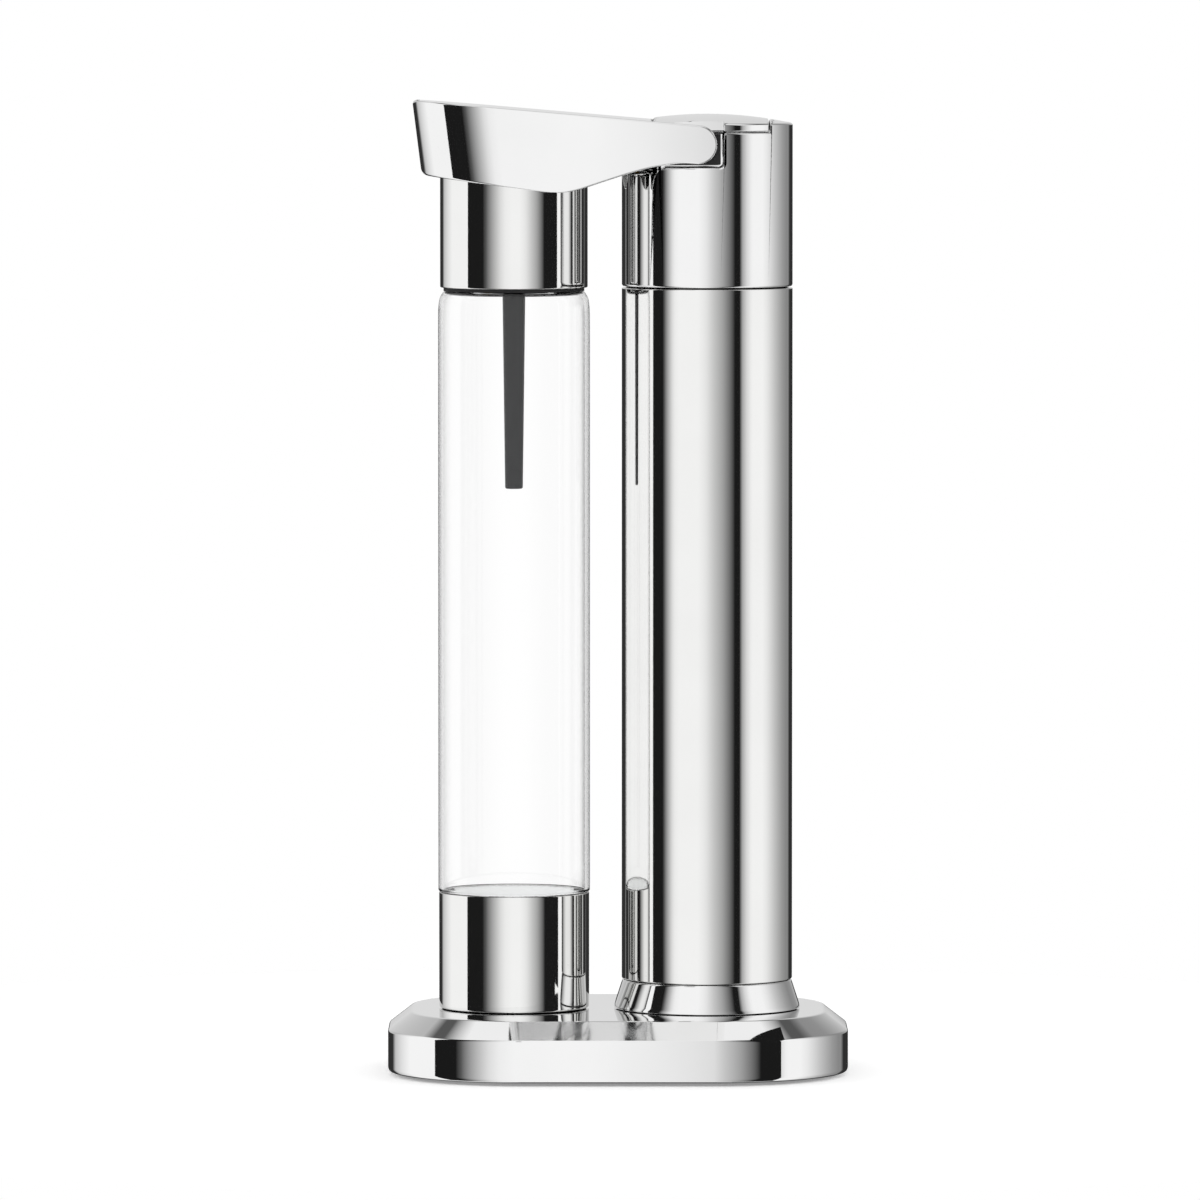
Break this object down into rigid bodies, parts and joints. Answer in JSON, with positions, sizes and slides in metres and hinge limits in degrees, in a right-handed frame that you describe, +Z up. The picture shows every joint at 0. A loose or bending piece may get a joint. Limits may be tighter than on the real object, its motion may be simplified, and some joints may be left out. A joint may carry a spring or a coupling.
{
  "type": "sparkling water maker",
  "caption": "Chrome countertop carbonator: gas column and clear glass bottle side by side on an oval base, with a hinged lever coming down over the bottle's cap.",
  "frame": {"origin": "middle of the base's footprint, at table height under the feet", "axes": "+X from the bottle to the gas column, +Y away from the side the picture shows, +Z up"},
  "size_m": [0.194, 0.146, 0.4103],
  "materials": {
    "chrome_plate": "polished mirror chrome plate",
    "polished_steel": "polished stainless steel tube",
    "clear_glass": "clear glass",
    "black_plastic": "satin moulded plastic",
    "nozzle_plastic": "satin moulded plastic tube",
    "rubber": "matt rubber",
    "silicone": "translucent grey silicone",
    "brass": "machined brass",
    "steel": "turned steel",
    "cylinder_paint": "satin grey paint"
  },
  "bodies": {
    "stand": {"base_shell": "chrome_plate", "base_plate": "black_plastic", "foot_1": "rubber", "foot_2": "rubber", "foot_3": "rubber", "foot_4": "rubber", "base_screw_1": "steel", "base_screw_2": "steel", "base_screw_3": "steel", "base_screw_4": "steel", "bottle_mat": "rubber", "column_foot_ring": "chrome_plate", "column_tube": "polished_steel", "cylinder_seat": "rubber", "gas_cylinder": "cylinder_paint", "cylinder_valve": "brass", "head_shell": "chrome_plate", "head_lid": "chrome_plate", "valve_carrier": "steel", "valve_socket": "brass", "return_spring": "steel", "pivot_bush_rear": "brass", "pivot_bush_front": "brass"},
    "tappet": {"tappet": "steel"},
    "lever": {"lever_shell": "chrome_plate", "lever_liner": "chrome_plate", "coupling_washer": "rubber", "gas_coupling": "brass", "gas_pipe": "steel", "pivot_pin": "steel", "cam": "steel"},
    "bottle": {"glass_bottle": "clear_glass", "bottle_cup": "polished_steel", "cup_pad": "silicone"},
    "cap": {"cap_sleeve": "polished_steel", "cap_core": "black_plastic", "cap_seal": "silicone", "burst_plug": "brass", "nozzle": "nozzle_plastic", "cap_inlet": "brass", "cap_cover": "black_plastic"}
  },
  "joints": [
    {"name": "lever_hinge", "type": "hinge", "parent": "stand", "child": "lever", "pos_m": [0.0334, 0, 0.392], "axis": [0, 1, 0], "range_deg": [0, 60]},
    {"name": "tappet_slide", "type": "slide", "parent": "stand", "child": "tappet", "axis": [0, 0, 1], "range_m": [0, 0.002], "deforming": ["return_spring"]},
    {"name": "bottle_turn", "type": "hinge", "parent": "stand", "child": "bottle", "pos_m": [-0.0439, 0, 0.1], "axis": [0, 0, 1], "continuous": true},
    {"name": "cap_twist", "type": "hinge", "parent": "bottle", "child": "cap", "pos_m": [-0.0439, 0, 0.34], "axis": [0, 0, 1], "range_deg": [0, 90]}
  ],
  "couplings": [
    {"joint": "tappet_slide", "follows": "lever_hinge", "m_per_rad": 0.0019}
  ]
}
